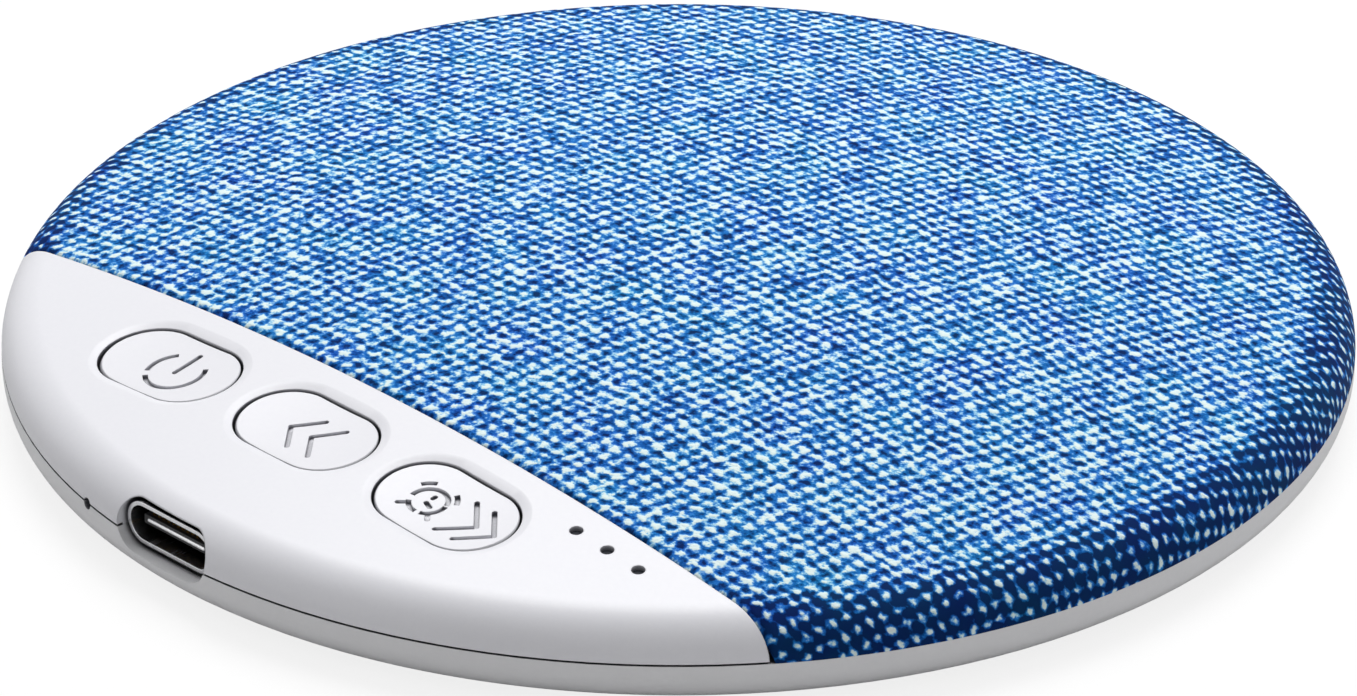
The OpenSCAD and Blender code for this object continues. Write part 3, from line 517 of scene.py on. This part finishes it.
def cloth_material(sizes, colours, crown):
    """Knitted polyester of white and blue melange yarn. The tops of the loops are white, their flanks
    blue and the holes a navy that is painted shade. There is more blue in streaks, and painted shade
    darkens the cloth towards the rim."""
    # Soft and matt, with crisp white loops over blue and navy, and painted shade that makes the rim
    # darker than the crown
    material, tree = empty_material("Knitted melange polyester")
    uv = add(tree, "ShaderNodeUVMap", uv_map="cloth")

    # The rows wander a little to and fro of their straight lines, as yarn does
    wander_length = 5 * MM
    wander = add(tree, "ShaderNodeTexNoise", {
        "Vector": uv, "Scale": UV_SPAN / wander_length, "Detail": 3.0, "Roughness": 0.6,
    }, noise_dimensions="2D")
    push = add(tree, "ShaderNodeVectorMath", {
        0: wander.outputs["Color"], 1: (0.5, 0.5, 0.5),
    }, operation="SUBTRACT")
    moved = add(tree, "ShaderNodeVectorMath", {
        0: push, 1: (sizes.stitch_wander / UV_SPAN,) * 3, 2: uv,
    }, operation="MULTIPLY_ADD")

    # The lattice's steps, and the turn of its diagonal
    step_x = np.array([sizes.stitch_width, 0.0])
    step_y = sizes.stitch_height * np.array([math.sin(sizes.stitch_lean), math.cos(sizes.stitch_lean)])
    diagonal = step_x + step_y
    row_turn = math.atan2(diagonal[1], diagonal[0])
    knit = knitted_loops(tree, moved, step_x, step_y)

    # Towards the rim, where the painted shade sets in, the knit is twice as strong
    stretch = rim_shade_share(tree, uv, crown)
    level = add(tree, "ShaderNodeMath", {0: knit, 1: stretch, 2: knit}, operation="MULTIPLY_ADD")

    # Noises break the knit up. Each row: place, turn, length and width in mm, detail, roughness, weight
    noises = (
        (uv, row_turn, 0.46, 0.42, 2.0, 0.5, 2.8),  # Uneven yarn
        (uv, 0.0, 3.0, 1.2, 3.0, 0.6, 2.2),  # Streaks of bluer yarn
        (moved, row_turn, 0.6, 0.12, 2.0, 0.5, 0.4),  # Single fibres
    )
    for place, turn, length, width, detail, rough, weight in noises:
        mapped = add(tree, "ShaderNodeMapping", {
            "Vector": place, "Rotation": (0, 0, turn),
            "Scale": (length * MM / UV_SPAN, width * MM / UV_SPAN, 1),
        }, vector_type="TEXTURE")
        noise = add(tree, "ShaderNodeTexNoise", {
            "Vector": mapped, "Scale": 1.0, "Detail": detail, "Roughness": rough,
        }, noise_dimensions="2D")
        level = add(tree, "ShaderNodeMath", {0: noise, 1: weight, 2: level}, operation="MULTIPLY_ADD")

    # Painted shade: the cloth darkens towards the rim, so that less of the white yarn shows there
    lower = -1.2
    level = add(tree, "ShaderNodeMath", {0: stretch, 1: lower, 2: level}, operation="MULTIPLY_ADD")

    # A noise is a half on average, so the knit swings about half of all the weights. Its height is
    # told from 0 in the holes to 1 on the loops.
    ground = sum(weight for *_, weight in noises) / 2
    depth, rise = 1.15, 1.38
    height = add(tree, "ShaderNodeMapRange", {
        "Value": level, "From Min": ground - depth, "From Max": ground + rise,
    })

    # The colours from the holes up, each with the height at which it is pure; the holes' navy is painted
    # shade
    colour = add(tree, "ShaderNodeValToRGB", {0: height})
    stops = colour.color_ramp.elements
    stops[0].color, stops[1].color = linear(colours.yarn_shade), linear(colours.yarn_white)
    stops[1].position = 0.73
    for at, yarn in ((0.23, colours.yarn_deep), (0.43, colours.yarn_blue), (0.6, colours.yarn_pale)):
        stops.new(at).color = linear(yarn)

    # The blue drifts a little towards teal and violet, half of the hue's scale being no change
    hue = add(tree, "ShaderNodeMapRange", {"Value": wander, "To Min": 0.475, "To Max": 0.525})
    tinted = add(tree, "ShaderNodeHueSaturation", {"Color": colour, "Hue": hue})

    # The loops stand over the holes by less than the yarn is thick
    loop_rise = 0.16 * MM
    raised = add(tree, "ShaderNodeBump", {"Height": height, "Distance": loop_rise})
    body = add(tree, "ShaderNodeBsdfPrincipled", {
        "Base Color": tinted, "Normal": raised, "Roughness": 0.9, "Specular IOR Level": 0.08,
        "Sheen Weight": 0.03, "Sheen Roughness": 0.4,
    })
    add(tree, "ShaderNodeOutputMaterial", {"Surface": body})
    return material


# Stage


def lay_floor(scene):
    """A wide level sheet of paper under the object."""
    half = FLOOR_HALF
    corners = [(-half, -half, 0), (half, -half, 0), (half, half, 0), (-half, half, 0)]
    mesh = bpy.data.meshes.new("floor")
    mesh.from_pydata(corners, [], [(0, 1, 2, 3)])
    floor = bpy.data.objects.new("floor", mesh)
    scene.collection.objects.link(floor)

    # White to the camera, with the object's soft shadow kept, and a pale bounce from below
    material, tree = empty_material("White paper sweep")
    seen = add(tree, "ShaderNodeLightPath").outputs["Is Camera Ray"]
    paper = add(tree, "ShaderNodeBsdfDiffuse", {"Color": linear(PAPER)})
    glow = add(tree, "ShaderNodeEmission", {"Color": (1, 1, 1, 1), "Strength": GLOW})
    share = add(tree, "ShaderNodeMath", {0: seen, 1: GLOW_SHARE}, operation="MULTIPLY")
    both = add(tree, "ShaderNodeMixShader", {0: share, 1: paper, 2: glow})
    add(tree, "ShaderNodeOutputMaterial", {"Surface": both})
    mesh.materials.append(material)


def fill_surroundings(scene):
    """White all round, weaker as a light than it looks."""
    world = bpy.data.worlds.new("Studio")
    scene.world = world
    world.use_nodes = True
    tree = world.node_tree
    tree.nodes.clear()
    path = add(tree, "ShaderNodeLightPath")
    shown = add(tree, "ShaderNodeMath", {
        0: path.outputs["Is Camera Ray"], 1: path.outputs["Is Glossy Ray"],
    }, operation="MAXIMUM")
    level = add(tree, "ShaderNodeMapRange", {"Value": shown, "To Min": SKY_LIGHT, "To Max": 1.0})
    sky = add(tree, "ShaderNodeBackground", {"Color": (1, 1, 1, 1), "Strength": level})
    add(tree, "ShaderNodeOutputWorld", {"Surface": sky})


def hang_softboxes(scene):
    """Square area lamps that face the object."""
    for name, place, side, power in SOFTBOXES:
        light = bpy.data.lights.new(name, "AREA")
        light.shape = "SQUARE"
        light.size = side
        light.energy = power
        lamp = bpy.data.objects.new(name, light)
        lamp.location = place
        lamp.rotation_mode = "QUATERNION"
        lamp.rotation_quaternion = (-Vector(place)).to_track_quat("-Z", "Y")
        scene.collection.objects.link(lamp)


def towards_camera(elevation):
    """Way from the object towards the camera at an elevation."""
    return Vector((
        math.cos(elevation) * math.sin(CAMERA_AZIMUTH),
        -math.cos(elevation) * math.cos(CAMERA_AZIMUTH),
        math.sin(elevation),
    ))


def place_camera(scene, sizes):
    """The photo's camera. It looks a small tilt lower than the middle of the parting line."""
    camera = bpy.data.objects.new("camera", bpy.data.cameras.new("camera"))
    camera.data.sensor_width = SENSOR
    camera.data.lens = FOCAL_LENGTH / PHOTO_WIDTH * SENSOR
    camera.data.clip_start, camera.data.clip_end = 0.05, 20
    camera.location = towards_camera(CAMERA_ELEVATION) * CAMERA_DISTANCE * sizes.case_radius
    camera.location.z += sizes.seam_height
    look = -towards_camera(CAMERA_ELEVATION + CAMERA_TILT)
    camera.rotation_mode = "QUATERNION"
    camera.rotation_quaternion = look.to_track_quat("-Z", "Y")
    scene.collection.objects.link(camera)
    scene.camera = camera


# Operators


class SPEAKER_OT_stage(bpy.types.Operator):
    """Floor, white surroundings, lamps and camera"""

    bl_idname = "speaker.stage"
    bl_label = "Stage"

    def execute(self, context):
        scene = context.scene
        scene.view_settings.view_transform = "Standard"
        lay_floor(scene)
        fill_surroundings(scene)
        hang_softboxes(scene)
        place_camera(scene, scene.speaker_sizes)
        return {"FINISHED"}


class SPEAKER_OT_cloth(bpy.types.Operator):
    """Knitted cloth over the crown, turned under at the border and at the parting line"""

    bl_idname = "speaker.cloth"
    bl_label = "Cloth"

    def execute(self, context):
        sizes, colours = context.scene.speaker_sizes, context.scene.speaker_colours
        crown = Crown(sizes)
        points, places, faces = cloth_surface(sizes, crown)
        mesh = bpy.data.meshes.new("cloth_top")
        mesh.from_pydata(points, [], faces)
        layer = mesh.uv_layers.new(name="cloth")
        corners = np.empty(len(mesh.loops), np.int32)
        mesh.loops.foreach_get("vertex_index", corners)
        uv = 0.5 + places / UV_SPAN
        layer.data.foreach_set("uv", uv[corners].ravel())
        mesh.shade_smooth()
        material = cloth_material(sizes, colours, crown)
        piece = new_piece("cloth_top", mesh, "case", material, ["fabric_cover"])
        wall = piece.modifiers.new("thickness", "SOLIDIFY")
        wall.thickness = sizes.cloth_thickness
        wall.offset = -1

        # Cut as a disc with a straight side
        return {"FINISHED"}


class SPEAKER_OT_panel(bpy.types.Operator):
    """White moulded control panel"""

    bl_idname = "speaker.panel"
    bl_label = "Control panel"

    def execute(self, context):
        sizes, colours = context.scene.speaker_sizes, context.scene.speaker_colours

        # Soft broad highlights, a barely seen grain, and painted shade in the gaps round the buttons, in
        # the signs and in the dished rings
        material = finish(
            "Satin moulded ABS", colours.panel_white, "#EDEDF3", 0.35, (0.34, 0.44),
            bump=0.004, edge=0.15, painted_shade=("#787880", 0.7, 0.8, 0.45), Specular_IOR_Level=0.45)
        mesh = dressed_copy("control_panel", [Crown(sizes)])
        new_piece("panel_moulding", mesh, "case", material, ["control_panel"])
        return {"FINISHED"}


class SPEAKER_OT_buttons(bpy.types.Operator):
    """Dished button caps with engraved signs"""

    bl_idname = "speaker.buttons"
    bl_label = "Buttons"

    def execute(self, context):
        sizes, colours = context.scene.speaker_sizes, context.scene.speaker_colours
        crown = Crown(sizes)
        dish_radius, dish_depth = 74 * MM, 0.55 * MM

        # A little glossier than the panel, so that the dished caps stand out by their highlights
        # Painted shade darkens the engraved signs and the gaps round the caps
        material = finish(
            "Satin moulded ABS, caps", colours.panel_white, "#EDEDF3", 0.35, (0.32, 0.42),
            bump=0.004, edge=0.08, painted_shade=("#787880", 0.4, 0.82, 0.5), Specular_IOR_Level=0.45)
        for key in ("power", "back", "forward"):
            node = key + "_button"
            low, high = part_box(node)
            x, y = (low.x + high.x) / 2, (low.y + high.y) / 2

            # The dish lies square to the dome
            out = np.array([x, y, math.sqrt(crown.dome**2 - x * x - y * y)]) / crown.dome
            centre = np.array([0, 0, crown.dome_z]) + out * (crown.dome + dish_radius - dish_depth)
            mesh = dressed_copy(node, [Dish(centre, dish_radius)])
            new_piece(key + "_cap", mesh, key + "_key", material, [node])
        return {"FINISHED"}


class SPEAKER_OT_base(bpy.types.Operator):
    """Pale moulded base with its rubber feet"""

    bl_idname = "speaker.base"
    bl_label = "Base"

    def execute(self, context):
        sizes, colours = context.scene.speaker_sizes, context.scene.speaker_colours

        # Duller than the panel, with painted shade as a dark line along the parting line and round the
        # socket
        material = finish(
            "Satin moulded ABS, base", colours.base_grey, "#EBEBEE", 0.35, (0.38, 0.48),
            bump=0.004, edge=0.12, painted_shade=("#58585E", 1.1, 0.74, 0.5), Specular_IOR_Level=0.45)
        mesh = dressed_copy("bottom_shell", [Base(sizes)])
        new_piece("base_moulding", mesh, "case", material, ["bottom_shell"])

        # Grey and dull, with no highlight
        rubber = finish("Moulded silicone rubber", "#B9B9BD", "#A8A8AC", 0.6, (0.6, 0.75), bump=0.01)
        new_piece("feet", dressed_copy("rubber_feet"), "case", rubber, ["rubber_feet"])
        return {"FINISHED"}


class SPEAKER_OT_socket(bpy.types.Operator):
    """Drawn steel charging socket with its tongue"""

    bl_idname = "speaker.socket"
    bl_label = "Charging socket"

    def execute(self, context):
        # Bright lips that mirror the studio, and an inside made black by painted shade
        steel = finish(
            "Drawn nickel plated steel", "#F0F0F2", "#DCDDE0", 0.5, (0.18, 0.34),
            bump=0.003, stretch=(1, 0.1, 1), edge=0.08, painted_shade=("#1A1A1C", 2.5, 0.5, 0.36), Metallic=1.0)
        new_piece("socket_mouth", dressed_copy("port_shell"), "case", steel, ["port_shell"])

        # Black and half dull, so that only the plate's edge shines in the mouth
        moulded = finish(
            "Moulded liquid crystal polymer", "#141416", "#1D1D20", 0.3, (0.4, 0.55),
            bump=0.004, edge=0.08)
        tongue = dressed_copy("port_tongue")

        # One bright line along the front of the tongue
        rolled = finish(
            "Rolled stainless steel", "#F4F4F5", "#E4E4E6", 0.2, (0.2, 0.35),
            bump=0.002, Metallic=1.0)
        low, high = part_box("port_tongue")
        middle = (low.x + high.x) / 2
        half, sink, radius = 3 * MM, 0.04 * MM, 0.16 * MM
        edge = plate_edge((middle - half, middle + half), low.y + sink, (low.z + high.z) / 2, radius)
        new_piece("socket_plate_edge", edge, "case", rolled)
        new_piece("socket_tongue", tongue, "case", moulded, ["port_tongue"])
        return {"FINISHED"}


# The works keep their own meshes. Each row: nodes, name of the finish, colour, second colour, grain in
# mm, roughness range, and the rest. The comment over a row says what the finish gives the eye.
WORKS = (
    # Dark and dull behind the cloth, so that the knit's holes look deep
    (("grille_plate",), "Matt moulded ABS", "#24262B", "#1C1E22", 0.5, (0.55, 0.7), dict(bump=0.01)),
    # Black with a faint sheen on the round edge
    (
        ("power_plunger", "back_plunger", "forward_plunger"),
        "Moulded nylon", "#1B1B1D", "#242427", 0.4, (0.45, 0.6), dict(bump=0.005),
    ),
    # Grey metal with soft reflections
    (
        ("power_switch", "back_switch", "forward_switch"),
        "Stamped stainless steel", "#B9BABD", "#9FA0A4", 0.4, (0.25, 0.4), dict(bump=0.003, Metallic=1.0),
    ),
    # Dark green under a clear coat that shines at a low angle
    (
        ("main_board", "protection_board"),
        "Solder mask on glass laminate", "#10512B", "#0B4022", 1.2, (0.3, 0.45),
        dict(bump=0.02, Coat_Weight=0.3),
    ),
    # Warm yellow lines on the black tongue
    (
        ("port_contacts",),
        "Gold plated contacts", "#D9A441", "#C08A2C", 0.2, (0.2, 0.35), dict(Metallic=1.0),
    ),
    # Dull black with a fine grain
    (
        ("radio_chip", "amplifier_chip", "charger_chip"),
        "Moulded epoxy", "#1E1E20", "#29292C", 0.2, (0.55, 0.7), dict(bump=0.006),
    ),
    # A small bright can
    (("crystal",), "Nickel plated can", "#C7C8CB", "#AFB0B4", 0.4, (0.2, 0.35), dict(Metallic=1.0)),
    # Dark grey and chalky
    (("inductor",), "Pressed ferrite", "#3A3A3D", "#2C2C2F", 0.3, (0.6, 0.8), dict(bump=0.01)),
    # Tan, mottled and half dull
    (
        ("chip_capacitors", "antenna"),
        "Fired ceramic", "#B48F62", "#8F6E48", 0.4, (0.4, 0.55), dict(bump=0.004),
    ),
    # Pale yellow under a clear gloss
    (
        ("timer_led_30", "timer_led_60", "timer_led_90"),
        "Clear epoxy over phosphor", "#F0E7BE", "#E2D48F", 0.3, (0.15, 0.3), dict(Coat_Weight=0.5),
    ),
    # Smoky grey dots with a glossy top in the lamp holes
    (
        ("light_guide",),
        "Smoked polycarbonate", "#3C3F46", "#2C2E34", 0.6, (0.12, 0.25), dict(Coat_Weight=0.4),
    ),
    # Dead black round the lamps
    (("light_shield",), "Matt black moulding", "#17171A", "#101012", 0.4, (0.55, 0.7), dict(bump=0.006)),
    # Pale gold with a soft shine
    (("microphone",), "Gold flashed brass", "#C9A860", "#AE8C46", 0.3, (0.25, 0.4), dict(Metallic=1.0)),
    # Black without highlights
    (
        ("microphone_boot", "surround"),
        "Moulded rubber", "#1A1A1C", "#111113", 0.6, (0.6, 0.8), dict(bump=0.01),
    ),
    # Crinkled silver
    (
        ("battery",),
        "Laminated aluminium pouch", "#B7B9BE", "#9EA0A6", 2.5, (0.25, 0.45),
        dict(bump=0.05, Metallic=1.0),
    ),
    # Grey, pitted and quite dull
    (
        ("battery_foam", "speaker_gasket"),
        "Open cell foam", "#4C4C50", "#2E2E31", 0.5, (0.85, 0.95), dict(bump=0.08),
    ),
    # Cream with a waxy sheen
    (
        ("battery_socket", "battery_plug"),
        "Natural nylon", "#E6DFC8", "#D8CFB4", 0.5, (0.4, 0.55), dict(bump=0.004),
    ),
    # Red with a soft line of light along the lead
    (
        ("battery_lead_red", "speaker_lead_red"),
        "Red silicone sleeve", "#C2161A", "#A00F13", 0.8, (0.4, 0.55), dict(bump=0.004),
    ),
    # Black with a soft line of light along the lead
    (
        ("battery_lead_black", "speaker_lead_black"),
        "Black silicone sleeve", "#1C1C1E", "#121214", 0.8, (0.4, 0.55), dict(bump=0.004),
    ),
    # Near black with a fine orange peel
    (("speaker_frame",), "Powder coated steel", "#26272A", "#1B1C1F", 0.3, (0.5, 0.65), dict(bump=0.01)),
    # Cloudy grey metal
    (
        ("speaker_yoke", "speaker_top_plate"),
        "Zinc plated iron", "#A9ABAF", "#8E9094", 0.8, (0.3, 0.45), dict(bump=0.004, Metallic=1.0),
    ),
    # Bright, nearly a mirror
    (
        ("speaker_magnet",),
        "Nickel plated magnet", "#BDBEC1", "#A6A8AB", 0.6, (0.15, 0.3), dict(Metallic=1.0),
    ),
    # Brown orange, ribbed round by the turns of the wire
    (
        ("voice_coil",),
        "Enamelled copper winding", "#B0602A", "#8A4519", 0.12, (0.25, 0.4),
        dict(bump=0.02, stretch=(0.1, 0.1, 1), Metallic=1.0),
    ),
    # Black, fibrous and dull
    (
        ("speaker_cone", "dust_cap"),
        "Pressed paper pulp", "#1F1F21", "#2B2B2E", 0.5, (0.75, 0.9), dict(bump=0.03),
    ),
    # Brown and half dull
    (
        ("speaker_terminals",),
        "Phenolic laminate", "#8A5A30", "#6E4522", 0.7, (0.45, 0.6), dict(bump=0.01),
    ),
    # Dark grey metal
    (
        ("case_screws",),
        "Blackened zinc steel", "#7D7F83", "#63656A", 0.3, (0.3, 0.45), dict(bump=0.003, Metallic=1.0),
    ),
)


class SPEAKER_OT_works(bpy.types.Operator):
    """Materials of the works inside"""

    bl_idname = "speaker.works"
    bl_label = "Works"

    def execute(self, context):
        for nodes, *row, rest in WORKS:
            material = finish(*row, **rest)
            for node in nodes:
                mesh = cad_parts[node].data
                mesh.materials.clear()
                mesh.materials.append(material)
        return {"FINISHED"}


class SPEAKER_PT_panel(bpy.types.Panel):
    """Lists the steps in the order in which they run"""

    bl_label = "Pillow speaker"
    bl_idname = "SPEAKER_PT_panel"
    bl_space_type = "VIEW_3D"
    bl_region_type = "UI"
    bl_category = "Speaker"

    def draw(self, context):
        for operator in OPERATORS:
            self.layout.operator(operator.bl_idname)
        for group in (context.scene.speaker_sizes, context.scene.speaker_colours):
            box = self.layout.box()
            for name in group.__annotations__:
                box.prop(group, name)


OPERATORS = (
    SPEAKER_OT_stage, SPEAKER_OT_cloth, SPEAKER_OT_panel, SPEAKER_OT_buttons,
    SPEAKER_OT_base, SPEAKER_OT_socket, SPEAKER_OT_works,
)
CLASSES = (SpeakerSizes, SpeakerColours, *OPERATORS, SPEAKER_PT_panel)


def register():
    """Adds the classes and the settings."""
    for cls in CLASSES:
        bpy.utils.register_class(cls)
    bpy.types.Scene.speaker_sizes = bpy.props.PointerProperty(type=SpeakerSizes)
    bpy.types.Scene.speaker_colours = bpy.props.PointerProperty(type=SpeakerColours)


def unregister():
    """Takes the classes and the settings away."""
    del bpy.types.Scene.speaker_colours
    del bpy.types.Scene.speaker_sizes
    for cls in reversed(CLASSES):
        bpy.utils.unregister_class(cls)


def main():
    """Runs every step."""
    register()
    for operator in OPERATORS:
        group, name = operator.bl_idname.split(".")
        getattr(getattr(bpy.ops, group), name)()
    bpy.context.view_layer.update()


if __name__ == "__main__":
    main()
